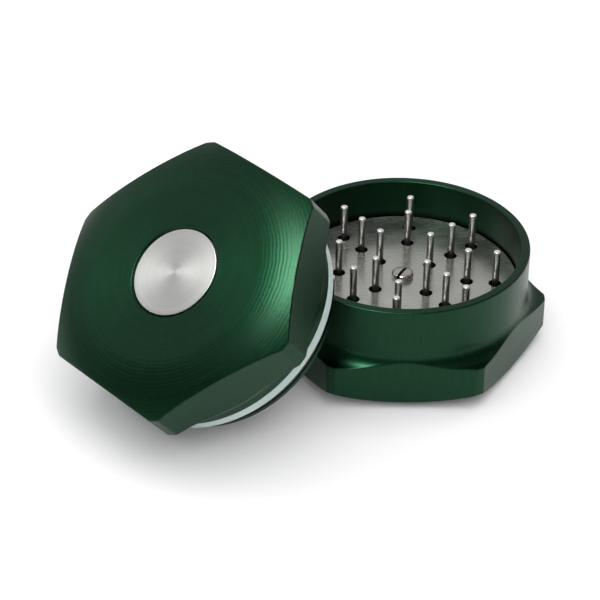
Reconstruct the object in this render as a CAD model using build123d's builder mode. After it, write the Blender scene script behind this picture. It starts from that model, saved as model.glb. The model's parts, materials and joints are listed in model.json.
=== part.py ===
from build123d import *

import os
from math import cos, pi, radians, sin, sqrt

# Two-part hexagonal hand grinder: a cup with steel needles, and its lid leaning against the cup's rim.
# The origin is the centre of the cup's flat foot, +Z is up and +X points at a corner of the foot.

# Both halves are drawn from their flat outer face inwards: depth is the distance from that face.
# ---- hexagonal end, the same turned and milled shape on both halves ----
ACROSS_FLATS = 60.9
CORNER_RADIUS = 34.5          # the hexagon's corners are turned off to this radius
FLAT_RADIUS = 20.95           # flat centre of the outer face
CROWN_RADIUS = 26.65          # profile radius of the convex zone outside it
COVE_RADIUS = 3.3             # hollow curve between the hexagon and the round wall
WALL_RADIUS = 30.0
EDGE_BREAK = 0.35             # chamfer on rims

# ---- base ----
BASE_HEX_DEPTH = 11.3
BASE_HEIGHT = 26.5
CUP_RADIUS = 27.8
BASE_PLATE_TOP = 16.7
BASE_PLATE_RADIUS = 27.5
BASE_PIN_TOP = 25.75
BASE_PIN_RINGS = {"inner": 8.55, "middle": 15.4, "outer": 22.2}
BASE_ARM_ANGLE = -6.15        # direction of the first arm of needles
ARM_STEP = 45.0

# ---- lid ----
LID_HEX_DEPTH = 12.35
LID_SHOULDER = 17.4           # where the slip ring sits
SPIGOT_RADIUS = 27.65
SPIGOT_END = 25.3
SPIGOT_BORE = 25.2
LID_PLATE_FACE = 20.0
LID_PLATE_RADIUS = 24.9
LID_PIN_TIP = 26.0
LID_PIN_RINGS = {"inner": 5.4, "middle": 11.9, "outer": 18.3}
SLIP_RING_BORE = 27.73
SLIP_RING_HEIGHT = 2.35
SLIP_RING_GAP = 0.05
SEAL_DEPTH = 23.0
SEAL_WIRE_RADIUS = 0.75
SEAL_OUTER_RADIUS = 27.85
SEAL_GROOVE_CLEARANCE = 0.05

# ---- needles ----
PIN_RADIUS = 0.85
PIN_TIP_ROUND = 0.35
PIN_ROOT = 4.0                # length held in the floor
PIN_HOLE_RADIUS = 1.5

# ---- push button, rod, bush, spring, plate and screw, the same in both halves ----
BUTTON_RADIUS = 10.6
BUTTON_THICKNESS = 2.6
BUTTON_EDGE = 0.2
BUTTON_BORE = 10.8
BUTTON_BORE_CHAMFER = 0.5
LID_BUTTON_RECESS = 0.1
RECESS_DEPTH = 10.3
ROD_RADIUS = 3.0
ROD_NOSE_RADIUS = 2.0
ROD_NOSE_LENGTH = 1.6
BUSH_BORE = 3.05
BUSH_RADIUS = 4.0
PLATE_THICKNESS = 1.6
PLATE_GAP = 0.1               # between the plate and the floor it rests on
PLATE_EDGE = 0.2
SCREW_SHANK_RADIUS = 1.25
SCREW_HOLE_RADIUS = 1.35
SCREW_LENGTH = 5.0            # shank beyond the plate
SCREW_HEAD_RADIUS = 2.6
SCREW_HEAD_HEIGHT = 1.7
SCREW_HEAD_ROUND = 0.8
SLOT_WIDTH = 0.75
SLOT_DEPTH = 0.8
SLOT_ANGLE = 61.0             # direction of the screw's slot seen from above
SPRING_WIRE_RADIUS = 0.4
SPRING_TURNS = 4.0
SPRING_STEPS = 24             # points on each turn of the coil
SPRING_WIDE_RADIUS = 9.3
SPRING_NARROW_RADIUS = 4.6
SPRING_GAP = 0.15

CUT_MARGIN = 1.0              # how far a cut runs past the face that it opens
JOIN = 2.0                    # how far two stages of one turned body reach into each other

# ---- how the lid leans: its outward normal is tipped over and turned about the vertical ----
LID_TILT = 38.99
LID_HEADING = -135.73
LID_SPIN = -1.63              # a corner of the hexagon is this far from the horizontal
LID_X = -52.63
LID_Y = -29.24
LID_FLOOR_GAP = 0.1

tilt = radians(LID_TILT)
heading = radians(LID_HEADING)
spin = radians(LID_SPIN)
lid_normal = Vector(sin(tilt) * cos(heading), sin(tilt) * sin(heading), cos(tilt))
level = Vector(-sin(heading), cos(heading), 0)
uphill = lid_normal.cross(level)
corner_direction = level * cos(spin) + uphill * sin(spin)
lid_height = LID_FLOOR_GAP + SPIGOT_END * cos(tilt) + (SPIGOT_RADIUS - EDGE_BREAK) * sin(tilt)

BASE = Plane.XY
LID = Plane(origin=(LID_X, LID_Y, lid_height), x_dir=corner_direction, z_dir=-lid_normal)

base_floor = BASE_PLATE_TOP - PLATE_THICKNESS - PLATE_GAP
lid_floor = LID_PLATE_FACE - PLATE_THICKNESS - PLATE_GAP


def axis_of(plane):
    """The turning axis of a half, from its outer face inwards."""
    return Axis(plane.origin, plane.z_dir)


def profile_plane(plane):
    """The plane of a turned profile: local X is radius, local Y is depth."""
    return Plane(origin=plane.origin, x_dir=plane.x_dir, z_dir=-plane.y_dir)


def outer_profile(plane, hex_depth, wall_depth, rim_chamfer):
    """Half section of a shell's outside: flat face, convex crown, turned corner, cove and round wall."""
    crown_drop = CROWN_RADIUS - sqrt(CROWN_RADIUS**2 - (CORNER_RADIUS - FLAT_RADIUS) ** 2)
    half_way = FLAT_RADIUS + (CORNER_RADIUS - FLAT_RADIUS) / 2
    half_drop = CROWN_RADIUS - sqrt(CROWN_RADIUS**2 - (half_way - FLAT_RADIUS) ** 2)
    cove_bend = COVE_RADIUS * (1 - sqrt(0.5))
    with BuildSketch(profile_plane(plane)) as profile:
        with BuildLine():
            Line((0, 0), (FLAT_RADIUS, 0))
            ThreePointArc((FLAT_RADIUS, 0), (half_way, half_drop), (CORNER_RADIUS, crown_drop))
            Polyline(
                (CORNER_RADIUS, crown_drop),
                (CORNER_RADIUS, hex_depth),
                (WALL_RADIUS + COVE_RADIUS, hex_depth),
            )
            ThreePointArc(
                (WALL_RADIUS + COVE_RADIUS, hex_depth),
                (WALL_RADIUS + cove_bend, hex_depth + cove_bend),
                (WALL_RADIUS, hex_depth + COVE_RADIUS),
            )
            Polyline(
                (WALL_RADIUS, hex_depth + COVE_RADIUS),
                (WALL_RADIUS, wall_depth - rim_chamfer),
                (WALL_RADIUS - rim_chamfer, wall_depth),
                (0, wall_depth),
                (0, 0),
            )
        make_face()
    return profile.sketch


def ring_profile(plane, inner, outer, low, high, chamfer_size):
    """Half section of a turned ring with its four corners broken."""
    with BuildSketch(profile_plane(plane)) as profile:
        with Locations(((inner + outer) / 2, (low + high) / 2)):
            Rectangle(outer - inner, high - low)
        chamfer(profile.vertices(), chamfer_size)
    return profile.sketch


def recess_profile(plane, floor_depth, cavity_radius, open_end):
    """Half section of a shell's inside: button bore, bush bore and the cavity above the plate's floor."""
    mouth = BUTTON_BORE + BUTTON_BORE_CHAMFER
    with BuildSketch(profile_plane(plane)) as profile:
        with BuildLine():
            Polyline(
                (0, -CUT_MARGIN),
                (mouth, -CUT_MARGIN),
                (mouth, 0),
                (BUTTON_BORE, BUTTON_BORE_CHAMFER),
                (BUTTON_BORE, RECESS_DEPTH),
                (BUSH_RADIUS, RECESS_DEPTH),
                (BUSH_RADIUS, floor_depth),
                (cavity_radius, floor_depth),
                (cavity_radius, open_end - EDGE_BREAK),
                (cavity_radius + EDGE_BREAK, open_end),
                (cavity_radius + EDGE_BREAK, open_end + CUT_MARGIN),
                (0, open_end + CUT_MARGIN),
                (0, -CUT_MARGIN),
            )
        make_face()
    return profile.sketch


def pin_ring(plane, floor_depth, tip_depth, radius, count, first_angle):
    """A ring of needles pressed into a floor, each with a rounded tip."""
    with BuildPart() as pins:
        with BuildSketch(plane.offset(floor_depth - PIN_ROOT)):
            with PolarLocations(radius, count, start_angle=first_angle):
                Circle(PIN_RADIUS)
        extrude(amount=tip_depth - floor_depth + PIN_ROOT)
        tips = pins.edges().group_by(axis_of(plane))[-1]
        fillet(tips, PIN_TIP_ROUND)
    return pins


def pin_angles(first_angle):
    """Start angle and count of each ring: the inner ring stands on every other arm."""
    return {
        "inner": (first_angle + ARM_STEP, 4),
        "middle": (first_angle, 8),
        "outer": (first_angle, 8),
    }


def press_plate(plane, face_depth, plate_radius, rings, first_angle):
    """The plate that slides along the needles, with a clearance hole round each."""
    with BuildPart() as plate:
        with BuildSketch(plane.offset(face_depth - PLATE_THICKNESS)):
            Circle(plate_radius)
            Circle(SCREW_HOLE_RADIUS, mode=Mode.SUBTRACT)
            for name, (angle, count) in pin_angles(first_angle).items():
                with PolarLocations(rings[name], count, start_angle=angle):
                    Circle(PIN_HOLE_RADIUS, mode=Mode.SUBTRACT)
        extrude(amount=PLATE_THICKNESS)
        rims = plate.edges().filter_by(GeomType.CIRCLE)
        outer_rims = rims.filter_by(lambda edge: edge.radius > SPRING_WIDE_RADIUS)
        chamfer(outer_rims, PLATE_EDGE)
    return plate


def slotted_screw(plane, face_depth, slot_angle):
    """Pan-head screw with a slot, its head resting on the plate's face."""
    with BuildPart() as screw:
        with BuildSketch(plane.offset(face_depth)):
            Circle(SCREW_HEAD_RADIUS)
        extrude(amount=SCREW_HEAD_HEIGHT)
        head_rim = screw.edges().group_by(axis_of(plane))[-1]
        fillet(head_rim, SCREW_HEAD_ROUND)
        with BuildSketch(plane.offset(face_depth - PLATE_THICKNESS - SCREW_LENGTH)):
            Circle(SCREW_SHANK_RADIUS)
        extrude(amount=PLATE_THICKNESS + SCREW_LENGTH)
        with BuildSketch(plane.offset(face_depth + SCREW_HEAD_HEIGHT - SLOT_DEPTH)):
            Rectangle(2 * SCREW_HEAD_RADIUS + CUT_MARGIN, SLOT_WIDTH, rotation=slot_angle)
        extrude(amount=SLOT_DEPTH + CUT_MARGIN, mode=Mode.SUBTRACT)
    return screw


def push_rod(plane, button_back, plate_back):
    """Rod from the button to the plate, with a nose for the button and a tapped hole for the screw."""
    with BuildPart() as rod:
        with BuildSketch(plane.offset(button_back)):
            Circle(ROD_RADIUS)
        extrude(amount=plate_back - button_back)
        with BuildSketch(plane.offset(button_back - ROD_NOSE_LENGTH)):
            Circle(ROD_NOSE_RADIUS)
        extrude(amount=ROD_NOSE_LENGTH)
        with BuildSketch(plane.offset(plate_back - SCREW_LENGTH)):
            Circle(SCREW_SHANK_RADIUS)
        extrude(amount=SCREW_LENGTH, mode=Mode.SUBTRACT)
    return rod


def push_button(plane, face_depth):
    """Turned disc that is pressed by the thumb, with a blind socket for the rod's nose."""
    with BuildPart() as button:
        with BuildSketch(plane.offset(face_depth)):
            Circle(BUTTON_RADIUS)
        extrude(amount=BUTTON_THICKNESS)
        chamfer(button.edges().group_by(axis_of(plane))[0], BUTTON_EDGE)
        with BuildSketch(plane.offset(face_depth + BUTTON_THICKNESS - ROD_NOSE_LENGTH)):
            Circle(ROD_NOSE_RADIUS)
        extrude(amount=ROD_NOSE_LENGTH, mode=Mode.SUBTRACT)
    return button


def guide_bush(plane, floor_depth):
    """Plain bush pressed into the floor, in which the rod slides."""
    with BuildPart() as bush:
        with BuildSketch(plane.offset(RECESS_DEPTH)):
            Circle(BUSH_RADIUS)
            Circle(BUSH_BORE, mode=Mode.SUBTRACT)
        extrude(amount=floor_depth - RECESS_DEPTH)
    return bush


def return_spring(plane, button_back):
    """Conical spring between the button's back and the recess floor; its turns nest when pressed."""
    low = button_back + SPRING_GAP + SPRING_WIRE_RADIUS
    high = RECESS_DEPTH - SPRING_GAP - SPRING_WIRE_RADIUS
    height = high - low
    with BuildPart() as spring:
        with BuildLine(plane.offset(low)) as coil:
            slope = (SPRING_WIDE_RADIUS - SPRING_NARROW_RADIUS) / height
            steps = int(SPRING_TURNS * SPRING_STEPS)
            points = []
            for step in range(steps + 1):
                share = step / steps
                radius = SPRING_NARROW_RADIUS + slope * share * height
                angle = 2 * pi * SPRING_TURNS * share
                points.append((radius * cos(angle), radius * sin(angle), share * height))
            Spline(*points)
        start = coil.line @ 0
        with BuildSketch(Plane(origin=start, z_dir=coil.line % 0)):
            Circle(SPRING_WIRE_RADIUS)
        sweep(path=coil.line)
    return spring


def save(piece, name):
    """Label a finished piece and write its file."""
    piece.part.label = name
    export_step(piece.part, f"parts/{name}.step")


os.makedirs("parts", exist_ok=True)

# ---- base shell: hexagonal foot and round cup ----
with BuildPart() as base_shell:
    with BuildSketch(BASE):
        RegularPolygon(ACROSS_FLATS / 2, 6, major_radius=False)
    extrude(amount=BASE_HEIGHT)
    base_outside = outer_profile(BASE, BASE_HEX_DEPTH, BASE_HEIGHT, EDGE_BREAK)
    revolve(base_outside, axis=axis_of(BASE), mode=Mode.INTERSECT)
    base_inside = recess_profile(BASE, base_floor, CUP_RADIUS, BASE_HEIGHT)
    revolve(base_inside, axis=axis_of(BASE), mode=Mode.SUBTRACT)
    for ring, (angle, count) in pin_angles(BASE_ARM_ANGLE).items():
        with BuildSketch(BASE.offset(base_floor - PIN_ROOT)):
            with PolarLocations(BASE_PIN_RINGS[ring], count, start_angle=angle):
                Circle(PIN_RADIUS)
        extrude(amount=PIN_ROOT, mode=Mode.SUBTRACT)
save(base_shell, "base_shell")

# ---- lid shell: hexagonal cap, round neck, and a spigot that enters the cup ----
with BuildPart() as lid_shell:
    with BuildSketch(LID):
        RegularPolygon(ACROSS_FLATS / 2, 6, major_radius=False)
    extrude(amount=LID_SHOULDER)
    lid_outside = outer_profile(LID, LID_HEX_DEPTH, LID_SHOULDER, EDGE_BREAK / 2)
    revolve(lid_outside, axis=axis_of(LID), mode=Mode.INTERSECT)
    spigot_section = ring_profile(
        LID, SPIGOT_BORE - JOIN, SPIGOT_RADIUS, LID_SHOULDER - JOIN, SPIGOT_END, EDGE_BREAK
    )
    revolve(spigot_section, axis=axis_of(LID))
    lid_inside = recess_profile(LID, lid_floor, SPIGOT_BORE, SPIGOT_END)
    revolve(lid_inside, axis=axis_of(LID), mode=Mode.SUBTRACT)
    groove_half = SEAL_WIRE_RADIUS + SEAL_GROOVE_CLEARANCE
    with BuildSketch(profile_plane(LID)) as groove:
        groove_bottom = SEAL_OUTER_RADIUS - 2 * SEAL_WIRE_RADIUS - SEAL_GROOVE_CLEARANCE
        with Locations((groove_bottom + JOIN / 2, SEAL_DEPTH)):
            Rectangle(JOIN, 2 * groove_half)
    revolve(groove.sketch, axis=axis_of(LID), mode=Mode.SUBTRACT)
    for ring, (angle, count) in pin_angles(0).items():
        with BuildSketch(LID.offset(lid_floor - PIN_ROOT)):
            with PolarLocations(LID_PIN_RINGS[ring], count, start_angle=angle):
                Circle(PIN_RADIUS)
        extrude(amount=PIN_ROOT, mode=Mode.SUBTRACT)
save(lid_shell, "lid_shell")

# ---- needles, one node per ring ----
for ring, (angle, count) in pin_angles(BASE_ARM_ANGLE).items():
    needles = pin_ring(BASE, base_floor, BASE_PIN_TOP, BASE_PIN_RINGS[ring], count, angle)
    save(needles, f"base_pins_{ring}")
for ring, (angle, count) in pin_angles(0).items():
    needles = pin_ring(LID, lid_floor, LID_PIN_TIP, LID_PIN_RINGS[ring], count, angle)
    save(needles, f"lid_pins_{ring}")

# ---- the ring that the lid turns in, and the seal on the spigot ----
with BuildPart() as slip_ring:
    slip_low = LID_SHOULDER + SLIP_RING_GAP
    slip_section = ring_profile(
        LID, SLIP_RING_BORE, WALL_RADIUS, slip_low, slip_low + SLIP_RING_HEIGHT, EDGE_BREAK / 2
    )
    revolve(slip_section, axis=axis_of(LID))
save(slip_ring, "slip_ring")

with BuildPart() as lid_seal:
    with BuildSketch(profile_plane(LID)) as seal_section:
        with Locations((SEAL_OUTER_RADIUS - SEAL_WIRE_RADIUS, SEAL_DEPTH)):
            Circle(SEAL_WIRE_RADIUS)
    revolve(seal_section.sketch, axis=axis_of(LID))
save(lid_seal, "lid_seal")

# ---- what the thumb pushes, in both halves ----
lifter_plate = press_plate(BASE, BASE_PLATE_TOP, BASE_PLATE_RADIUS, BASE_PIN_RINGS, BASE_ARM_ANGLE)
save(lifter_plate, "lifter_plate")
stripper_plate = press_plate(LID, LID_PLATE_FACE, LID_PLATE_RADIUS, LID_PIN_RINGS, 0)
save(stripper_plate, "stripper_plate")
save(slotted_screw(BASE, BASE_PLATE_TOP, SLOT_ANGLE), "lifter_screw")
save(slotted_screw(LID, LID_PLATE_FACE, 0), "stripper_screw")

for half, plane, face, plate_top, floor in (
    ("base", BASE, 0, BASE_PLATE_TOP, base_floor),
    ("lid", LID, LID_BUTTON_RECESS, LID_PLATE_FACE, lid_floor),
):
    button_back = face + BUTTON_THICKNESS
    save(push_button(plane, face), f"{half}_button")
    save(push_rod(plane, button_back, plate_top - PLATE_THICKNESS), f"{half}_push_rod")
    save(guide_bush(plane, floor), f"{half}_bush")
    save(return_spring(plane, button_back), f"{half}_spring")
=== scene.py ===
"""Looks of the two-part hexagonal hand grinder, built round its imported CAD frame."""

import json
import math

import bmesh
import bpy
import numpy as np
from mathutils import Matrix, Vector


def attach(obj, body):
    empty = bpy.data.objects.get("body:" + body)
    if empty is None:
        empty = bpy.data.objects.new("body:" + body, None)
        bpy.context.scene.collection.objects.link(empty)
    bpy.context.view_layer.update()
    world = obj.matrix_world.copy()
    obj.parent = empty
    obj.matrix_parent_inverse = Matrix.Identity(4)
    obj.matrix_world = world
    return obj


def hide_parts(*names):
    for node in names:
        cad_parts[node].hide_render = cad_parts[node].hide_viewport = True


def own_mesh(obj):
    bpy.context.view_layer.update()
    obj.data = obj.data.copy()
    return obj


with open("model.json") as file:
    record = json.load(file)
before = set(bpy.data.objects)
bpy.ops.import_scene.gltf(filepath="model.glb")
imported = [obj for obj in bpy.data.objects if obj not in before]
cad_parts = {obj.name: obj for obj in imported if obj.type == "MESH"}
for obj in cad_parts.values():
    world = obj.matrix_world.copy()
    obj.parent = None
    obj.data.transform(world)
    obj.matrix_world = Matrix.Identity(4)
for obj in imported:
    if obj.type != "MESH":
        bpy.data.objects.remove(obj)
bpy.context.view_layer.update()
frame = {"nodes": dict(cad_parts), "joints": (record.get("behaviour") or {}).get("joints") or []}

MM = 0.001
TURN = 2 * math.pi

# ---- driving dimensions, in millimetres; depth is measured from each half's flat outer face ----
HALF_FLATS = 30.45
CORNER_RADIUS = 34.5
CORNER_BLEND = 0.15           # how far the edge beside a turned-off corner is softened
FLAT_RADIUS = 20.95
CROWN_RADIUS = 26.65
COVE_RADIUS = 3.3
WALL_RADIUS = 30.0
BUTTON_BORE = 10.8
BUTTON_MOUTH = 11.3
BUTTON_RADIUS = 10.6
BUTTON_THICKNESS = 2.6
RECESS_DEPTH = 10.3
BUSH_RADIUS = 4.0
PIN_RADIUS = 0.85
PIN_HOLE_RADIUS = 1.5
PIN_ROOT = 4.0
PIN_TIP_ROUND = 0.35          # radius of the edge of a needle's tip
PIN_TIP_DOME = 0.035          # rise of a needle's tip inside that edge
PLATE_THICKNESS = 1.6
PLATE_BEVEL = 0.13
SCREW_HOLE_RADIUS = 1.35
SCREW_HEAD_RADIUS = 2.6
SCREW_HEAD_HEIGHT = 1.7
SCREW_HEAD_ROUND = 0.8        # radius of the head's upper edge
SCREW_HEAD_DOME = 0.12        # rise of the head inside that edge
SCREW_SHANK = (1.25, 6.0)     # radius and length
SCREW_SLOT = (0.75, 0.8)      # width and depth
SLIP_RING = (27.73, 30.0, 17.45, 19.8)   # bore, outer radius, and the depths of its two faces
SEAL = (27.1, 23.0, 0.75)     # radius and depth of the wire's centre, and the wire's radius
SPRING_COIL = (4.6, 9.3, 4)   # narrow and wide radius, and the number of turns
SPRING_WIRE = 0.4             # radius of the springs' wire
SPRING_GAP = 0.15             # air at both ends of a spring
MILLED_EDGE = 0.3             # softening of the hexagon's edges
TURNED_EDGE = 0.35            # softening of rims
SHOULDER_EDGE = 0.17          # softening of the lid's shoulder, beside the slip ring
HIDDEN_EDGE = 0.15
FINE_EDGE = 0.08              # softening of small chamfers and of the groove
SUPPORT = 0.12                # distance of the first ring from a softened edge
WELD = 0.0005                 # points closer than this are one point
BEND_STEPS = 5                # segments in a softened edge
SIDE_END = 39                 # points in a shell's outline up to the end of the hexagon's side

BASE = {
    "hex_depth": 11.3, "wall_depth": 26.5, "floor": 15.0, "bore": 27.8,
    "plate_face": 16.7, "plate_radius": 27.5, "pin_tip": 25.75, "button_face": 0.0,
    "rings": {"inner": (8.55, 4, 38.85), "middle": (15.4, 8, -6.15), "outer": (22.2, 8, -6.15)},
    "slot_angle": 61.0,
}
LID = {
    "hex_depth": 12.35, "wall_depth": 17.4, "floor": 18.3, "bore": 25.2,
    "plate_face": 20.0, "plate_radius": 24.9, "pin_tip": 26.0, "button_face": 0.1,
    "rings": {"inner": (5.4, 4, 45.0), "middle": (11.9, 8, 0.0), "outer": (18.3, 8, 0.0)},
    "slot_angle": 0.0,
    "relief": (23.2, 17.4),   # radius and depth of the hollow in the floor behind the plate
    "spigot_shade": (17.5, 24.4),   # depths between which the spigot is painted dark as shade, from inside the slip ring down to just above its lip
}
SPIGOT = {"radius": 27.65, "end": 25.3, "groove_low": 22.2, "groove_high": 23.8, "groove": 26.3}

# ---- proportions of the looks, in millimetres ----
TOOL_PITCH = 0.85             # spacing of the tool's ridges on the crown
CROWN_RIDGES = (9.6, 11.0, 24.0, 25.0)   # places along the outline where the ridges fade in and out
FLOOR_REACH = 3000.0
FLOOR_DROP = 0.05             # how far the floor lies below the foot's flat face

# ---- the photograph's point of view ----
CAMERA_AZIMUTH = 0.19
CAMERA_ELEVATION = 34.14
CAMERA_ROLL = -0.41
CAMERA_DISTANCE = 0.5417
CAMERA_LENS = 133.1
CAMERA_AIM = (-0.02457, 0.00444, 0.00667)


# ---------------------------------------------------------------- where the halves are

def axes_matrix(x, y, z, origin):
    """A placement from its three axes and its origin."""
    return Matrix((
        (x[0], y[0], z[0], origin[0]),
        (x[1], y[1], z[1], origin[1]),
        (x[2], y[2], z[2], origin[2]),
        (0, 0, 0, 1),
    ))


def half_matrix(shell, axis, inward, toward):
    """Frame of a half: its origin on the flat outer face, Z into the body, X through the hexagon corner that
    points most nearly in a given direction."""
    points = np.array([v.co for v in frame["nodes"][shell].data.vertices])
    axis_point, axis_direction = axis
    z = np.array(axis_direction) * inward
    offset = points - np.array(axis_point)
    along = offset @ z
    across = offset - np.outer(along, z)
    radius = np.linalg.norm(across, axis=1)
    origin = np.array(axis_point) + along.min() * z
    # a corner of the hexagon is the middle of the turned strip at the largest radius
    strip = across[radius > radius.max() - 0.01 * MM]
    first = strip[np.argmax(strip @ np.array(toward))]
    first = first / np.linalg.norm(first)
    near = strip[(strip @ first) > 0.9 * np.linalg.norm(strip, axis=1)]
    side = np.cross(z, first)
    angles = np.arctan2(near @ side, near @ first)
    middle = (angles.min() + angles.max()) / 2
    x = first * math.cos(middle) + side * math.sin(middle)
    return axes_matrix(x, np.cross(z, x), z, origin)


def lid_axis():
    """The lid's turning axis, from the joint that turns it."""
    joint = next(j for j in frame["joints"] if j["name"] == "lid_turn")
    return joint["pos_m"], joint["axis"]


lid_point, lid_direction = lid_axis()
level = Vector((0, 0, 1)).cross(Vector(lid_direction))   # horizontal, across the lid's slope
BASE["matrix"] = half_matrix("base_shell", ((0, 0, 0), (0, 0, 1)), 1, (1, 0, 0))
LID["matrix"] = half_matrix("lid_shell", (lid_point, lid_direction), -1, level)


# ---------------------------------------------------------------- outlines

def resample(path, count, cut_start, cut_end):
    """Points along a path, with its ends cut back and an extra point just inside each end."""
    steps = np.linalg.norm(np.diff(path, axis=0), axis=1)
    station = np.concatenate([[0], np.cumsum(steps)])
    low, high = cut_start, station[-1] - cut_end
    inset = min(SUPPORT, (high - low) / 4)
    places = np.concatenate([[low], np.linspace(low + inset, high - inset, count), [high]])
    return np.column_stack([np.interp(places, station, path[:, axis]) for axis in (0, 1)])


def outline(sections, bends):
    """A closed outline through the sections, with the corner after each one softened over its reach."""
    points = []
    for i, (path, count) in enumerate(sections):
        points.extend(resample(path, count, bends[i - 1], bends[i]))
        if bends[i] <= 0:
            points.pop()
            continue
        following = sections[(i + 1) % len(sections)][0]
        corner = path[-1]
        start = points[-1]
        end = resample(following, 2, bends[i], 0)[0]
        for step in range(1, BEND_STEPS):
            t = step / BEND_STEPS
            points.append((1 - t) ** 2 * start + 2 * t * (1 - t) * corner + t * t * end)
    return np.array(points)


def straight(*points):
    """A path of straight runs."""
    return np.array(points, float)


def arc(centre, radius, start, end, steps=48):
    """A circular path in the half section, from one angle to another, in radians."""
    angles = np.linspace(start, end, steps)
    return np.column_stack([centre[0] + radius * np.cos(angles), centre[1] + radius * np.sin(angles)])


def hexagon_radius(angle):
    """Distance from the axis to the hexagon's outline, its corners turned off to a circle."""
    flat = HALF_FLATS / math.cos(angle % (TURN / 6) - TURN / 12)
    share = min(max(0.5 + 0.5 * (CORNER_RADIUS - flat) / CORNER_BLEND, 0), 1)
    blend = CORNER_BLEND * share * (1 - share)
    return CORNER_RADIUS + (flat - CORNER_RADIUS) * share - blend


def sector_angles():
    """Directions round the hexagon, close together where a flat meets a turned-off corner."""
    edge = math.degrees(TURN / 12 - math.acos(HALF_FLATS / CORNER_RADIUS))
    offsets = np.concatenate([
        np.linspace(-30, -edge - 1, 22, endpoint=False),
        np.linspace(-edge - 1, -edge + 1, 9, endpoint=False),
        np.linspace(-edge + 1, edge - 1, 5, endpoint=False),
        np.linspace(edge - 1, edge + 1, 9, endpoint=False),
        np.linspace(edge + 1, 30, 22, endpoint=False),
    ])
    return np.radians(np.concatenate([60 * sector + offsets for sector in range(6)]))


def outside_sections(half, edge_radius):
    """Flat face, crown, hexagon side, and the shoulder that hollows into the round wall."""
    reach = edge_radius - FLAT_RADIUS
    slope = math.asin(reach / CROWN_RADIUS)
    crown = arc((FLAT_RADIUS, CROWN_RADIUS), CROWN_RADIUS, -math.pi / 2, slope - math.pi / 2)
    hex_depth = half["hex_depth"]
    cove_start = math.asin(min(max((WALL_RADIUS + COVE_RADIUS - edge_radius) / COVE_RADIUS, 0), 1))
    cove_centre = (WALL_RADIUS + COVE_RADIUS, hex_depth + COVE_RADIUS)
    cove = arc(cove_centre, COVE_RADIUS, -math.pi / 2 - cove_start, -math.pi)
    if edge_radius > WALL_RADIUS + COVE_RADIUS:
        cove = np.vstack([[(edge_radius, hex_depth)], cove])
    return [
        (straight((BUTTON_MOUTH, 0), (FLAT_RADIUS, 0)), 6),
        (crown, 16),
        (straight(crown[-1], cove[0]), 6),
        (cove, 12),
        (straight(cove[-1], (WALL_RADIUS, half["wall_depth"])), 8),
    ]


def recess_sections(half):
    """Floor with any relief in it, bush bore, button recess and its bore, back to the outer face."""
    floor = half["floor"]
    start, step = (half["bore"], floor), []
    if "relief" in half:
        edge, floor = half["relief"]
        step = [
            (straight(start, (edge, half["floor"])), 2),
            (straight((edge, half["floor"]), (edge, floor)), 2),
        ]
        start = (edge, floor)
    return step + [
        (straight(start, (BUSH_RADIUS, floor)), 6),
        (straight((BUSH_RADIUS, floor), (BUSH_RADIUS, RECESS_DEPTH)), 2),
        (straight((BUSH_RADIUS, RECESS_DEPTH), (BUTTON_BORE, RECESS_DEPTH)), 2),
        (straight((BUTTON_BORE, RECESS_DEPTH), (BUTTON_BORE, BUTTON_MOUTH - BUTTON_BORE)), 3),
        (straight((BUTTON_BORE, BUTTON_MOUTH - BUTTON_BORE), (BUTTON_MOUTH, 0)), 2),
    ]


OUTSIDE_BENDS = [0, MILLED_EDGE, MILLED_EDGE, 0]
RECESS_BENDS = [HIDDEN_EDGE] * 3 + [FINE_EDGE] * 2
SPIGOT_BENDS = [SHOULDER_EDGE] + [FINE_EDGE] * 5 + [TURNED_EDGE] * 2 + [HIDDEN_EDGE] * 3


def base_outline(angle):
    """Half section of the cup in one direction."""
    top, bore = BASE["wall_depth"], BASE["bore"]
    sections = outside_sections(BASE, hexagon_radius(angle)) + [
        (straight((WALL_RADIUS, top), (bore, top)), 3),
        (straight((bore, top), (bore, BASE["floor"])), 8),
    ] + recess_sections(BASE)
    return outline(sections, OUTSIDE_BENDS + [TURNED_EDGE, TURNED_EDGE, HIDDEN_EDGE] + RECESS_BENDS)


def lid_outline(angle):
    """Half section of the lid in one direction, with the spigot and its seal groove."""
    radius, end, bore = SPIGOT["radius"], SPIGOT["end"], LID["bore"]
    low, high, groove = SPIGOT["groove_low"], SPIGOT["groove_high"], SPIGOT["groove"]
    shoulder = LID["wall_depth"]
    sections = outside_sections(LID, hexagon_radius(angle)) + [
        (straight((WALL_RADIUS, shoulder), (radius, shoulder)), 2),
        (straight((radius, shoulder), (radius, low)), 4),
        (straight((radius, low), (groove, low)), 2),
        (straight((groove, low), (groove, high)), 2),
        (straight((groove, high), (radius, high)), 2),
        (straight((radius, high), (radius, end)), 3),
        (straight((radius, end), (bore, end)), 3),
        (straight((bore, end), (bore, LID["floor"])), 4),
    ] + recess_sections(LID)
    return outline(sections, OUTSIDE_BENDS + SPIGOT_BENDS + RECESS_BENDS)


# ---------------------------------------------------------------- meshes

def add_object(name, data):
    """A new object in the scene."""
    made = bpy.data.objects.new(name, data)
    bpy.context.scene.collection.objects.link(made)
    return made


def finished_mesh(drawn):
    """The mesh that an object's curve or modifiers make; the object itself is removed."""
    bpy.context.view_layer.update()
    depsgraph = bpy.context.evaluated_depsgraph_get()
    mesh = bpy.data.meshes.new_from_object(drawn.evaluated_get(depsgraph), depsgraph=depsgraph)
    bpy.data.objects.remove(drawn)
    return mesh


def mesh_in_half(name, half, points, faces):
    """A mesh from points in a half's frame, in mm."""
    mesh = bpy.data.meshes.new(name)
    mesh.from_pydata([half["matrix"] @ Vector(p * MM) for p in points], [], faces)
    return mesh


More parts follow.
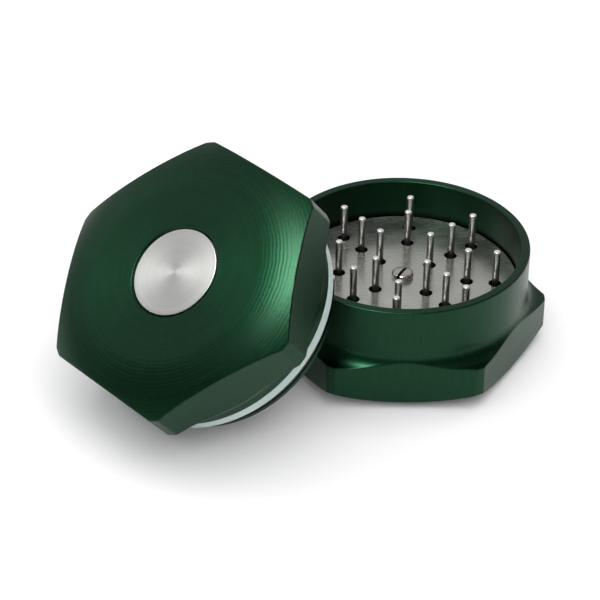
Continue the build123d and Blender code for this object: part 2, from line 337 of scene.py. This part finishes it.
def turned_mesh(name, rings, angles, half, closed=True):
    """A mesh through half sections set round a half's axis, UV-mapped: U goes round and V along, in mm."""
    around, along = rings.shape[:2]
    local = np.stack([
        rings[:, :, 0] * np.cos(angles)[:, None],
        rings[:, :, 0] * np.sin(angles)[:, None],
        rings[:, :, 1],
    ], axis=2).reshape(-1, 3)
    last = along if closed else along - 1
    faces = []
    for i in range(around):
        j = (i + 1) % around
        for k in range(last):
            m = (k + 1) % along
            faces.append((i * along + k, i * along + m, j * along + m, j * along + k))
    mesh = mesh_in_half(name, half, local, faces)
    steps = np.linalg.norm(np.diff(rings, axis=1, append=rings[:, :1]), axis=2)
    forward = np.concatenate([np.zeros((around, 1)), np.cumsum(steps, axis=1)], axis=1)
    # the middle of the outline is where the hexagon changes its length: measure the rest from the end
    total = forward[:, -1:].min()
    station = np.where(np.arange(along + 1) < SIDE_END, forward, forward - forward[:, -1:] + total)
    turn = np.append(angles, angles[0] + TURN) / TURN
    uv = []
    for i in range(around):
        j = (i + 1) % around
        for k in range(last):
            uv += [turn[i], station[i, k], turn[i], station[i, k + 1]]
            uv += [turn[i + 1], station[j, k + 1], turn[i + 1], station[j, k]]
    mesh.uv_layers.new(name="UVMap").data.foreach_set("uv", uv)
    return mesh


def merge_poles(mesh):
    """Close the tips of a turned mesh whose outline starts or ends on the axis."""
    shape = bmesh.new()
    shape.from_mesh(mesh)
    bmesh.ops.remove_doubles(shape, verts=shape.verts, dist=WELD * MM)
    bmesh.ops.dissolve_degenerate(shape, dist=WELD / 5 * MM, edges=shape.edges)
    shape.to_mesh(mesh)
    shape.free()


def face_outwards(mesh):
    """Turn every face outwards."""
    shape = bmesh.new()
    shape.from_mesh(mesh)
    bmesh.ops.recalc_face_normals(shape, faces=shape.faces)
    shape.to_mesh(mesh)
    shape.free()


def mark_painted_shade(mesh, where):
    """Record which points of a mesh get painted shade: a near-black colour that stands in for the shadow in
    recesses and under parts.
    """
    mesh.attributes.new("painted_shade", "FLOAT", "POINT").data.foreach_set("value", where.astype(float))


def make_piece(name, mesh, material, body, nodes):
    """Put a mesh in the scene as a piece that rides on a body and stands for its CAD nodes."""
    face_outwards(mesh)
    mesh.polygons.foreach_set("use_smooth", [True] * len(mesh.polygons))
    mesh.materials.append(material)
    piece = add_object(name, mesh)
    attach(piece, body)
    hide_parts(*nodes)
    return piece


def even_angles(count):
    """Directions evenly round a full turn."""
    return np.arange(count) * TURN / count


def ring_mesh(name, sections, bends, half, count):
    """A closed turned ring."""
    one = outline(sections, bends)
    return turned_mesh(name, np.array([one] * count), even_angles(count), half)


def capped_mesh(name, path, half, count):
    """A turned solid whose outline starts and ends on the axis."""
    mesh = turned_mesh(name, np.array([path] * count), even_angles(count), half, closed=False)
    merge_poles(mesh)
    return mesh


def needle_path(root, tip):
    """Outline of one needle from its root to its rounded, slightly domed tip."""
    edge = PIN_TIP_ROUND
    shank = straight((0, root), (PIN_RADIUS, root), (PIN_RADIUS, tip - edge))
    bend = arc((PIN_RADIUS - edge, tip - edge), edge, 0, math.radians(72), 7)
    top = straight(bend[-1] * (0.55, 1) + (0, PIN_TIP_DOME), (0, tip))
    return np.vstack([shank, bend, top])


def needle_places(half, ring):
    """The places of a ring's needles in their half."""
    radius, count, first = half["rings"][ring]
    angles = math.radians(first) + even_angles(count)
    return [(radius * math.cos(angle), radius * math.sin(angle)) for angle in angles]


def needles_mesh(name, half, ring):
    """A ring of needles as one mesh."""
    root = half["floor"] - PIN_ROOT
    path = needle_path(root, half["pin_tip"])
    shape = bmesh.new()
    for x, y in needle_places(half, ring):
        placed = dict(half, matrix=half["matrix"] @ Matrix.Translation(Vector((x, y, 0)) * MM))
        one = capped_mesh(name + "_one", path, placed, 32)
        count_from_tip(one, half["pin_tip"] - root)
        shape.from_mesh(one)
        bpy.data.meshes.remove(one)
    mesh = bpy.data.meshes.new(name)
    shape.to_mesh(mesh)
    shape.free()
    return mesh


def count_from_tip(mesh, length):
    """Shift a needle's V so that it is zero where the straight shank ends."""
    layer = mesh.uv_layers["UVMap"].data
    uv = np.empty(2 * len(layer))
    layer.foreach_get("uv", uv)
    uv[1::2] -= PIN_RADIUS + length - PIN_TIP_ROUND
    layer.foreach_set("uv", uv)


def coil_mesh(name, half):
    """A conical spring, from behind the button to the recess floor, its turns widening on the way."""
    narrow, wide, turns = SPRING_COIL
    low = half["button_face"] + BUTTON_THICKNESS + SPRING_GAP + SPRING_WIRE
    high = RECESS_DEPTH - SPRING_GAP - SPRING_WIRE
    share = np.linspace(0, 1, turns * 48 + 1)
    angle = TURN * turns * share
    radius = narrow + (wide - narrow) * share
    centre = np.column_stack([radius * np.cos(angle), radius * np.sin(angle), low + (high - low) * share])
    along = np.gradient(centre, axis=0)
    along /= np.linalg.norm(along, axis=1)[:, None]
    across = np.cross(along, (0, 0, 1))
    across /= np.linalg.norm(across, axis=1)[:, None]
    upward = np.cross(across, along)
    round_wire = even_angles(12)
    tube = centre[:, None] + SPRING_WIRE * (
        across[:, None] * np.cos(round_wire)[:, None] + upward[:, None] * np.sin(round_wire)[:, None])
    count, around = tube.shape[:2]
    faces = [range(around), range((count - 1) * around, count * around)]
    for i in range(count - 1):
        for k in range(around):
            m = (k + 1) % around
            faces.append((i * around + k, i * around + m, (i + 1) * around + m, (i + 1) * around + k))
    return mesh_in_half(name, half, tube.reshape(-1, 3), faces)


def circle_spline(curve, centre, radius, count):
    """Add a closed circle to a flat curve."""
    spline = curve.splines.new("POLY")
    spline.points.add(count - 1)
    for i, point in enumerate(spline.points):
        angle = i * TURN / count
        x = centre[0] + radius * math.cos(angle)
        y = centre[1] + radius * math.sin(angle)
        point.co = (x * MM, y * MM, 0, 1)
    spline.use_cyclic_u = True


def weld_flat_faces(mesh):
    """Join a plate's flat faces to the bevels round them, with a crisp shading edge where they meet."""
    shape = bmesh.new()
    shape.from_mesh(mesh)
    bmesh.ops.remove_doubles(shape, verts=shape.verts, dist=WELD * MM)
    bmesh.ops.recalc_face_normals(shape, faces=shape.faces)
    for edge in shape.edges:
        flat = [abs(face.normal.z) > 0.999 for face in edge.link_faces]
        edge.smooth = flat[0] == flat[-1]
    shape.to_mesh(mesh)
    shape.free()


def plate_mesh(name, half):
    """The sliding plate: a disc with a bevelled hole round each needle."""
    curve = bpy.data.curves.new(name, "CURVE")
    curve.dimensions = "2D"
    curve.fill_mode = "BOTH"
    curve.extrude = (PLATE_THICKNESS / 2 - PLATE_BEVEL) * MM
    curve.bevel_depth = PLATE_BEVEL * MM
    curve.bevel_resolution = 2
    curve.offset = -PLATE_BEVEL * MM
    circle_spline(curve, (0, 0), half["plate_radius"], 192)
    circle_spline(curve, (0, 0), SCREW_HOLE_RADIUS, 24)
    for ring in half["rings"]:
        for centre in needle_places(half, ring):
            circle_spline(curve, centre, PIN_HOLE_RADIUS, 40)
    mesh = finished_mesh(add_object(name + "_drawn", curve))
    weld_flat_faces(mesh)
    while mesh.uv_layers:
        mesh.uv_layers.remove(mesh.uv_layers[0])
    layer = mesh.uv_layers.new(name="UVMap")
    for loop in mesh.loops:
        point = mesh.vertices[loop.vertex_index].co
        layer.data[loop.index].uv = (point.x / MM, point.y / MM)
    # painted shade: the walls of the needle and screw holes are marked to go near-black
    points = np.array([v.co for v in mesh.vertices]) / MM
    in_holes = np.hypot(points[:, 0], points[:, 1]) < half["plate_radius"] - 1
    below_bevel = points[:, 2] < PLATE_THICKNESS / 2 - PLATE_BEVEL + 0.01
    mark_painted_shade(mesh, in_holes & below_bevel)
    middle = half["plate_face"] - PLATE_THICKNESS / 2
    mesh.transform(half["matrix"] @ Matrix.Translation((0, 0, middle * MM)))
    return mesh


def screw_mesh(name, half):
    """Pan-head screw: a turned head and shank with the slot cut across."""
    face = half["plate_face"]
    top = face + SCREW_HEAD_HEIGHT
    shank, length = SCREW_SHANK
    rim_centre = (SCREW_HEAD_RADIUS - SCREW_HEAD_ROUND, top - SCREW_HEAD_DOME - SCREW_HEAD_ROUND)
    head = arc(rim_centre, SCREW_HEAD_ROUND, 0, math.radians(80), 9)
    path = np.vstack([
        straight((0, face - length), (shank, face - length), (shank, face), (SCREW_HEAD_RADIUS - 0.1, face)),
        straight((SCREW_HEAD_RADIUS, face + 0.1)),
        head,
        straight((head[-1][0] * 0.5, top - SCREW_HEAD_DOME * 0.25), (0, top)),
    ])
    mesh = capped_mesh(name, path, half, 64)
    face_outwards(mesh)
    screw = add_object(name + "_blank", mesh)
    width, depth = SCREW_SLOT
    slot_angle = math.radians(half["slot_angle"])
    cut = bmesh.new()
    size = Matrix.Diagonal((8 * MM, width * MM, 2 * depth * MM, 1))
    place = Matrix.Translation((0, 0, top * MM)) @ Matrix.Rotation(slot_angle, 4, "Z")
    bmesh.ops.create_cube(cut, size=1, matrix=half["matrix"] @ place @ size)
    cut_mesh = bpy.data.meshes.new(name + "_cutter")
    cut.to_mesh(cut_mesh)
    cut.free()
    cutter = add_object(name + "_cutter", cut_mesh)
    boolean = screw.modifiers.new("slot", "BOOLEAN")
    boolean.object = cutter
    boolean.operation = "DIFFERENCE"
    boolean.solver = "EXACT"
    bevel = screw.modifiers.new("soften", "BEVEL")
    bevel.width = 0.06 * MM
    bevel.segments = 2
    bevel.limit_method = "ANGLE"
    bevel.angle_limit = math.radians(50)
    made = finished_mesh(screw)
    bpy.data.objects.remove(cutter)
    made.set_sharp_from_angle(angle=math.radians(35))
    inverse = half["matrix"].inverted()
    local = np.array([inverse @ v.co for v in made.vertices]) / MM
    # painted shade: the walls and floor of the slot are marked to go near-black
    sideways = abs(local[:, 1] * math.cos(slot_angle) - local[:, 0] * math.sin(slot_angle))
    in_slot = (sideways < width / 2 + 0.03) & (local[:, 2] > face + 0.3) & (local[:, 2] < top - 0.25)
    mark_painted_shade(made, in_slot)
    return made


# ---------------------------------------------------------------- materials

class Nodes:
    """Short ways to build one material's node tree."""

    def __init__(self, name):
        self.material = bpy.data.materials.new(name)
        self.material.use_nodes = True
        self.tree = self.material.node_tree
        self.shader = self.tree.nodes["Principled BSDF"]

    def link(self, output, target):
        self.tree.links.new(output, target)

    def add(self, kind, **settings):
        """A new node, with its properties set by name."""
        node = self.tree.nodes.new(kind)
        for key, value in settings.items():
            setattr(node, key, value)
        return node

    def feed(self, socket, value):
        """Link an output to a socket, or set the socket to a number or colour."""
        if hasattr(value, "is_output"):
            self.link(value, socket)
        else:
            socket.default_value = value

    def painted_shade(self):
        """How much painted shade a point carries, from 0 to 1."""
        return self.add("ShaderNodeAttribute", attribute_name="painted_shade").outputs["Fac"]

    def math(self, operation, a, b=0.0):
        """One sum, product or other step of arithmetic."""
        node = self.add("ShaderNodeMath", operation=operation)
        self.feed(node.inputs[0], a)
        self.feed(node.inputs[1], b)
        return node.outputs[0]

    def uv(self):
        """U and V of the mesh's own map."""
        node = self.add("ShaderNodeSeparateXYZ")
        self.link(self.add("ShaderNodeUVMap", uv_map="UVMap").outputs[0], node.inputs[0])
        return node.outputs[0], node.outputs[1]

    def place(self):
        """The point on the piece, in metres in the object's own frame."""
        return self.add("ShaderNodeTexCoord").outputs["Object"]

    def vector(self, x, y, z=0.0):
        """A point to look a texture up at."""
        node = self.add("ShaderNodeCombineXYZ")
        for socket, value in zip(node.inputs, (x, y, z)):
            self.feed(socket, value)
        return node.outputs[0]

    def noise(self, vector, scale, detail=3.0, roughness=0.5):
        """Soft random noise, mostly between 0.3 and 0.7."""
        node = self.add("ShaderNodeTexNoise")
        self.feed(node.inputs["Vector"], vector)
        node.inputs["Scale"].default_value = scale
        node.inputs["Detail"].default_value = detail
        node.inputs["Roughness"].default_value = roughness
        return node.outputs["Fac"]

    def spread(self, value, low, high, new_low, new_high):
        """A value remapped from one range to another, kept inside it."""
        node = self.add("ShaderNodeMapRange")
        self.feed(node.inputs["Value"], value)
        for socket, number in zip(list(node.inputs)[1:5], (low, high, new_low, new_high)):
            socket.default_value = number
        return node.outputs["Result"]

    def mix_colour(self, share, first, second):
        """A share of the way from one colour to another."""
        node = self.add("ShaderNodeMix", data_type="RGBA")
        self.feed(node.inputs[0], share)
        self.feed(node.inputs[6], first)
        self.feed(node.inputs[7], second)
        return node.outputs[2]

    def tinted(self, shade, first, second):
        """A colour between two, by a noise that hardly leaves the middle of its range."""
        return self.mix_colour(self.spread(shade, 0.3, 0.7, 0.0, 1.0), first, second)

    def bump(self, height, strength, distance):
        """A normal tilted by a height; the distance is in metres."""
        node = self.add("ShaderNodeBump")
        node.inputs["Strength"].default_value = strength
        node.inputs["Distance"].default_value = distance
        self.link(height, node.inputs["Height"])
        return node.outputs[0]

    def ring_streaks(self, pitch, wander):
        """Noise in fine rings of a given pitch, in mm, that fade in and out round the turn."""
        u, v = self.uv()
        angle = self.math("MULTIPLY", u, TURN)
        x = self.math("MULTIPLY", self.math("COSINE", angle), wander)
        y = self.math("MULTIPLY", self.math("SINE", angle), wander)
        return self.noise(self.vector(x, y, self.math("MULTIPLY", v, 1 / pitch)), 1.0, 2.0)


def colour(r, g, b):
    return (r, g, b, 1.0)


def metal(nodes, tint, roughness, anisotropy=0.0):
    """Set the shader to a metal of that tint, its grain running round the axis."""
    nodes.feed(nodes.shader.inputs["Base Color"], tint)
    nodes.shader.inputs["Metallic"].default_value = 1.0
    nodes.feed(nodes.shader.inputs["Roughness"], roughness)
    if anisotropy:
        nodes.shader.inputs["Anisotropic"].default_value = anisotropy
        nodes.shader.inputs["Anisotropic Rotation"].default_value = 0.25
        tangent = nodes.add("ShaderNodeTangent", direction_type="UV_MAP", uv_map="UVMap")
        nodes.link(tangent.outputs[0], nodes.shader.inputs["Tangent"])


def green_anodised():
    """Dark green dyed aluminium under a clear hard film, turned in fine rings, with painted shade where the
    mesh is marked.
    """
    n = Nodes("green_anodised")
    u, v = n.uv()
    rings = n.ring_streaks(0.7, 1.6)
    streaks = n.noise(n.vector(n.math("MULTIPLY", u, 420.0), n.math("MULTIPLY", v, 0.12)), 1.0, 2.0)
    clouds = n.noise(n.place(), 60.0, 3.0)
    # the crown keeps the wavy marks of the tool
    wander = n.math("MULTIPLY", n.noise(n.place(), 420.0, 2.0), 4.0)
    ridge = n.math("SINE", n.math("ADD", n.math("MULTIPLY", v, TURN / TOOL_PITCH), wander))
    start, full, fading, end = CROWN_RIDGES
    on_crown = n.math("MULTIPLY", n.spread(v, start, full, 0.0, 1.0), n.spread(v, fading, end, 1.0, 0.0))
    ridge = n.math("MULTIPLY", ridge, on_crown)
    shade = n.math("ADD", n.math("MULTIPLY", rings, 0.35), n.math("MULTIPLY", streaks, 0.65))
    shade = n.math("ADD", shade, n.math("MULTIPLY", ridge, 0.07))
    tint = n.tinted(shade, colour(0.0027, 0.033, 0.0125), colour(0.0038, 0.047, 0.0178))
    # painted shade: marked points go near-black and lose most of the coat, standing in for the shadow under
    # the plate and on the spigot
    painted_shade = n.painted_shade()
    tint = n.mix_colour(painted_shade, tint, colour(0.0012, 0.0025, 0.0018))
    roughness = n.math("ADD", n.spread(rings, 0.3, 0.7, 0.36, 0.42), n.spread(clouds, 0.3, 0.7, -0.02, 0.03))
    metal(n, tint, roughness, 0.4)
    n.link(n.spread(painted_shade, 0.0, 1.0, 0.24, 0.02), n.shader.inputs["Coat Weight"])
    n.shader.inputs["Coat Roughness"].default_value = 0.33
    n.shader.inputs["Coat IOR"].default_value = 1.5
    relief = n.math("ADD", n.math("MULTIPLY", rings, 0.35), n.math("MULTIPLY", ridge, 0.09))
    rough_film = n.bump(relief, 0.9, 0.00008)
    n.link(rough_film, n.shader.inputs["Normal"])
    n.link(rough_film, n.shader.inputs["Coat Normal"])
    return n.material


def turned_steel():
    """The press button's face: steel turned to bright fine rings."""
    n = Nodes("turned_steel")
    rings = n.ring_streaks(0.16, 0.6)
    broad = n.ring_streaks(1.1, 0.3)
    shade = n.math("ADD", n.math("MULTIPLY", rings, 0.6), n.math("MULTIPLY", broad, 0.4))
    tint = n.tinted(shade, colour(0.51, 0.52, 0.50), colour(0.60, 0.60, 0.58))
    metal(n, tint, n.spread(rings, 0.3, 0.7, 0.42, 0.48), 0.35)
    n.link(n.bump(rings, 0.3, 0.00002), n.shader.inputs["Normal"])
    return n.material


def pin_steel():
    """Needles of satin-ground wire, with painted dark reflections down the sides of the shank where they
    turn from the view; the middle of the shank and the tips keep the bright steel.
    """
    n = Nodes("pin_steel")
    u, v = n.uv()
    grain = n.noise(n.vector(n.math("MULTIPLY", u, 24.0), n.math("MULTIPLY", v, 0.25)), 1.0, 2.0)
    # painted reflection: the shank is painted dark where its surface turns away from the view, leaving a
    # bright line down its middle
    facing = n.add("ShaderNodeLayerWeight")
    facing.inputs["Blend"].default_value = 0.5
    painted_dark_sides = n.spread(facing.outputs["Facing"], 0.215, 0.3, 0.0, 1.0)
    shank = n.spread(v, -0.3, 0.0, 1.0, 0.0)
    light = n.mix_colour(grain, colour(0.80, 0.79, 0.75), colour(0.94, 0.93, 0.89))
    tint = n.mix_colour(n.math("MULTIPLY", painted_dark_sides, shank), light, colour(0.13, 0.13, 0.12))
    metal(n, tint, n.spread(grain, 0.3, 0.7, 0.26, 0.34))
    n.shader.inputs["Metallic"].default_value = 0.8
    return n.material


def grey_plate():
    """The sliding plates: darkened steel with a straight brushed grain and faint rub marks, and painted
    shade on the walls of the holes.
    """
    n = Nodes("grey_plate")
    u, v = n.uv()
    grain = n.noise(n.vector(n.math("MULTIPLY", u, 0.25), n.math("MULTIPLY", v, 9.0)), 1.0, 3.0, 0.6)
    clouds = n.noise(n.place(), 120.0, 4.0)
    shade = n.math("ADD", n.math("MULTIPLY", grain, 0.55), n.math("MULTIPLY", clouds, 0.45))
    tint = n.tinted(shade, colour(0.50, 0.51, 0.47), colour(0.67, 0.68, 0.63))
    # painted shade: the marked hole walls go near-black
    tint = n.mix_colour(n.painted_shade(), tint, colour(0.015, 0.015, 0.014))
    roughness = n.math("ADD", n.spread(grain, 0.3, 0.7, 0.2, 0.3), n.spread(clouds, 0.3, 0.7, -0.03, 0.05))
    metal(n, tint, roughness, 0.6)
    n.link(n.bump(grain, 0.25, 0.00002), n.shader.inputs["Normal"])
    return n.material


def plain_steel(name, dark, bright, low, high, scale):
    """A steel with a fine even grain, and painted shade where its mesh is marked for it."""
    n = Nodes(name)
    grain = n.noise(n.place(), scale, 3.0)
    # painted shade: marked points, such as the screw's slot, go near-black
    tint = n.mix_colour(n.painted_shade(), n.mix_colour(grain, dark, bright), colour(0.02, 0.018, 0.016))
    metal(n, tint, n.spread(grain, 0.3, 0.7, low, high))
    n.link(n.bump(grain, 0.15, 0.00002), n.shader.inputs["Normal"])
    return n.material


def slip_ring_plastic():
    """Pale grey acetal, turned and slightly waxy."""
    n = Nodes("slip_ring")
    rings = n.ring_streaks(0.35, 1.0)
    clouds = n.noise(n.place(), 90.0, 3.0)
    tint = n.tinted(clouds, colour(0.41, 0.51, 0.49), colour(0.48, 0.58, 0.56))
    n.feed(n.shader.inputs["Base Color"], tint)
    n.feed(n.shader.inputs["Roughness"], n.spread(rings, 0.3, 0.7, 0.38, 0.5))
    n.shader.inputs["Subsurface Weight"].default_value = 0.15
    n.shader.inputs["Subsurface Radius"].default_value = (0.001, 0.001, 0.001)
    n.shader.inputs["Subsurface Scale"].default_value = 1.0
    n.link(n.bump(rings, 0.2, 0.00002), n.shader.inputs["Normal"])
    return n.material


def seal_rubber():
    """Black nitrile with a matt skin."""
    n = Nodes("seal_rubber")
    grain = n.noise(n.place(), 1500.0, 2.0)
    tint = n.mix_colour(grain, colour(0.012, 0.012, 0.012), colour(0.03, 0.03, 0.03))
    n.feed(n.shader.inputs["Base Color"], tint)
    n.feed(n.shader.inputs["Roughness"], n.spread(grain, 0.3, 0.7, 0.5, 0.65))
    n.link(n.bump(grain, 0.2, 0.00003), n.shader.inputs["Normal"])
    return n.material


GREEN = green_anodised()
TURNED = turned_steel()
PIN = pin_steel()
PLATE = grey_plate()
SCREW = plain_steel("screw_steel", colour(0.50, 0.46, 0.43), colour(0.64, 0.60, 0.56), 0.2, 0.32, 1800.0)
ROD = plain_steel("rod_steel", colour(0.50, 0.50, 0.50), colour(0.60, 0.60, 0.60), 0.18, 0.28, 1500.0)
BRONZE = plain_steel("bronze", colour(0.48, 0.29, 0.13), colour(0.60, 0.40, 0.20), 0.3, 0.45, 1200.0)
SPRING = plain_steel("spring_steel", colour(0.38, 0.38, 0.40), colour(0.50, 0.50, 0.51), 0.22, 0.35, 900.0)
RING = slip_ring_plastic()
RUBBER = seal_rubber()


# ---------------------------------------------------------------- the pieces

def shell_piece(name, half, half_outline, body, node):
    """A shell, with painted shade on the floor under its plate and on the spigot below the slip ring."""
    angles = sector_angles()
    rings = np.array([half_outline(angle) for angle in angles])
    mesh = turned_mesh(name, rings, angles, half)
    radius, depth = rings[:, :, 0].ravel(), rings[:, :, 1].ravel()
    inside = radius < half["bore"] + 0.1
    deepest = half["relief"][1] if "relief" in half else half["floor"]
    # painted shade: the floor under the plate, and the spigot from inside the slip ring down to just above
    # its lip, are marked to go near-black
    shade_mask = inside & (depth > deepest - 0.1) & (depth < half["plate_face"] + 0.6)
    if "spigot_shade" in half:
        low, high = half["spigot_shade"]
        shade_mask |= (abs(radius - SPIGOT["radius"]) < 1.5) & (depth > low) & (depth < high)
    mark_painted_shade(mesh, shade_mask)
    return make_piece(name, mesh, GREEN, body, [node])


def button_piece(name, half, body, node):
    """The press button: a turned disc with a softened rim and a dished socket behind."""
    face = half["button_face"]
    back = face + BUTTON_THICKNESS
    edge = arc((BUTTON_RADIUS - 0.2, face + 0.2), 0.2, -math.pi / 2, 0, 6)
    spokes = [(radius, face) for radius in np.linspace(0, BUTTON_RADIUS - 0.3, 18)]
    behind = [
        (BUTTON_RADIUS, back - 0.1), (BUTTON_RADIUS - 0.1, back), (6.0, back), (3.5, back), (2.0, back),
        (2.0, back - 0.8), (0, back - 0.8),
    ]
    path = np.vstack([straight(*spokes), edge, straight(*behind)])
    mesh = capped_mesh(name, path, half, 160)
    return make_piece(name, mesh, TURNED, body, [node])


def spring_piece(name, half, body, node):
    """A return spring between the button and the recess floor, on a mesh of its own."""
    piece = make_piece(name, coil_mesh(name, half), SPRING, body, [node])
    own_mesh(piece)


shell_piece("cup", BASE, base_outline, "base", "base_shell")
shell_piece("lid", LID, lid_outline, "lid", "lid_shell")
button_piece("base_thumb_button", BASE, "base_pusher", "base_button")
button_piece("lid_thumb_button", LID, "lid_pusher", "lid_button")

for half, body, prefix in ((BASE, "base", "base"), (LID, "lid", "lid")):
    for ring in half["rings"]:
        made = needles_mesh(f"{prefix}_needles_{ring}", half, ring)
        make_piece(f"{prefix}_needles_{ring}", made, PIN, body, [f"{prefix}_pins_{ring}"])

for name, half, body, node in (
    ("lifting_plate", BASE, "base_pusher", "lifter_plate"),
    ("stripping_plate", LID, "lid_pusher", "stripper_plate"),
):
    make_piece(name, plate_mesh(name, half), PLATE, body, [node])
for half, body, node in ((BASE, "base_pusher", "lifter_screw"), (LID, "lid_pusher", "stripper_screw")):
    make_piece(node + "_head", screw_mesh(node, half), SCREW, body, [node])

bore, outer, low, high = SLIP_RING
slip_sections = [
    (straight((bore, low), (outer, low)), 3),
    (straight((outer, low), (outer, high)), 4),
    (straight((outer, high), (bore, high)), 3),
    (straight((bore, high), (bore, low)), 3),
]
slip_mesh = ring_mesh("collar_ring", slip_sections, [0.2] * 4, LID, 256)
make_piece("collar_ring", slip_mesh, RING, "ring", ["slip_ring"])

seal_radius, seal_depth, wire = SEAL
seal_sections = [(arc((seal_radius, seal_depth), wire, 0, TURN, 96), 22)]
seal_mesh = ring_mesh("seal_wire", seal_sections, [0], LID, 256)
make_piece("seal_wire", seal_mesh, RUBBER, "lid", ["lid_seal"])

spring_piece("base_return_spring", BASE, "base", "base_spring")
spring_piece("lid_return_spring", LID, "lid", "lid_spring")

for name, material in (("push_rod", ROD), ("bush", BRONZE)):
    for prefix in ("base", "lid"):
        node = frame["nodes"][f"{prefix}_{name}"]
        node.data.materials.clear()
        node.data.materials.append(material)


# ---------------------------------------------------------------- floor, light and camera

def floor_material():
    """A plain white sweep."""
    n = Nodes("floor")
    n.shader.inputs["Base Color"].default_value = colour(0.92, 0.92, 0.92)
    n.shader.inputs["Roughness"].default_value = 0.9
    n.shader.inputs["Specular IOR Level"].default_value = 0.0
    n.shader.inputs["Emission Color"].default_value = colour(1.0, 1.0, 1.0)
    n.shader.inputs["Emission Strength"].default_value = 0.02
    return n.material


floor_mesh = bpy.data.meshes.new("floor")
signs = ((-1, -1), (1, -1), (1, 1), (-1, 1))
corners = [(x * FLOOR_REACH * MM, y * FLOOR_REACH * MM, -FLOOR_DROP * MM) for x, y in signs]
floor_mesh.from_pydata(corners, [], [(0, 1, 2, 3)])
floor_mesh.materials.append(floor_material())
floor = add_object("floor", floor_mesh)


def softbox(name, azimuth, elevation, distance, size, radiance, shape="RECTANGLE"):
    """A soft light of even brightness, aimed at the object from a direction round it."""
    a, e = math.radians(azimuth), math.radians(elevation)
    away = Vector((math.cos(a) * math.cos(e), math.sin(a) * math.cos(e), math.sin(e)))
    data = bpy.data.lights.new(name, "AREA")
    data.shape = shape
    data.size, data.size_y = size
    filled = math.pi / 4 if shape == "ELLIPSE" else 1.0
    data.energy = radiance * math.pi * size[0] * size[1] * filled
    lamp = add_object(name, data)
    lamp.location = Vector(CAMERA_AIM) + away * distance
    lamp.rotation_mode = "QUATERNION"
    lamp.rotation_quaternion = away.to_track_quat("Z", "Y")
    return lamp


softbox("overhead", -140, 73, 1.0, (0.42, 0.42), 23.0, "ELLIPSE").visible_diffuse = False
softbox("left_panel", 160, 33, 1.4, (0.72, 0.58), 0.85)
softbox("fill_overhead", -90, 80, 1.6, (2.4, 2.4), 1.95).visible_glossy = False
for azimuth, radiance in ((-85, 1.2), (40, 0.5), (150, 0.4)):
    softbox("fill_low", azimuth, 28, 1.6, (2.0, 1.2), radiance).visible_glossy = False

world = bpy.data.worlds.new("studio")
bpy.context.scene.world = world
world.use_nodes = True
background = world.node_tree.nodes["Background"]
light_path = world.node_tree.nodes.new("ShaderNodeLightPath")
direction = world.node_tree.nodes.new("ShaderNodeTexCoord")
split = world.node_tree.nodes.new("ShaderNodeSeparateXYZ")
fade = world.node_tree.nodes.new("ShaderNodeMapRange")
mix = world.node_tree.nodes.new("ShaderNodeMix")
mix.data_type = "RGBA"
mix.inputs[7].default_value = colour(1.0, 1.0, 1.0)
for socket, value in zip(list(fade.inputs)[1:5], (0.1, 0.75, 0.12, 0.55)):
    socket.default_value = value
world.node_tree.links.new(direction.outputs["Generated"], split.inputs[0])
world.node_tree.links.new(split.outputs["Y"], fade.inputs["Value"])
world.node_tree.links.new(light_path.outputs["Is Camera Ray"], mix.inputs[0])
world.node_tree.links.new(fade.outputs["Result"], mix.inputs[6])
world.node_tree.links.new(mix.outputs[2], background.inputs["Color"])

camera_data = bpy.data.cameras.new("camera")
camera_data.lens = CAMERA_LENS
camera_data.sensor_width = 36.0
camera_data.clip_start = 0.01
camera_data.clip_end = 20.0
camera = add_object("camera", camera_data)
a, e, roll = (math.radians(v) for v in (CAMERA_AZIMUTH, CAMERA_ELEVATION, CAMERA_ROLL))
back = Vector((math.sin(a) * math.cos(e), -math.cos(a) * math.cos(e), math.sin(e)))
right = Vector((math.cos(a), math.sin(a), 0))
up = back.cross(right)
x_axis = right * math.cos(roll) - up * math.sin(roll)
y_axis = right * math.sin(roll) + up * math.cos(roll)
camera.matrix_world = axes_matrix(x_axis, y_axis, back, Vector(CAMERA_AIM) + back * CAMERA_DISTANCE)
bpy.context.scene.camera = camera

bpy.context.scene.view_settings.view_transform = "Standard"
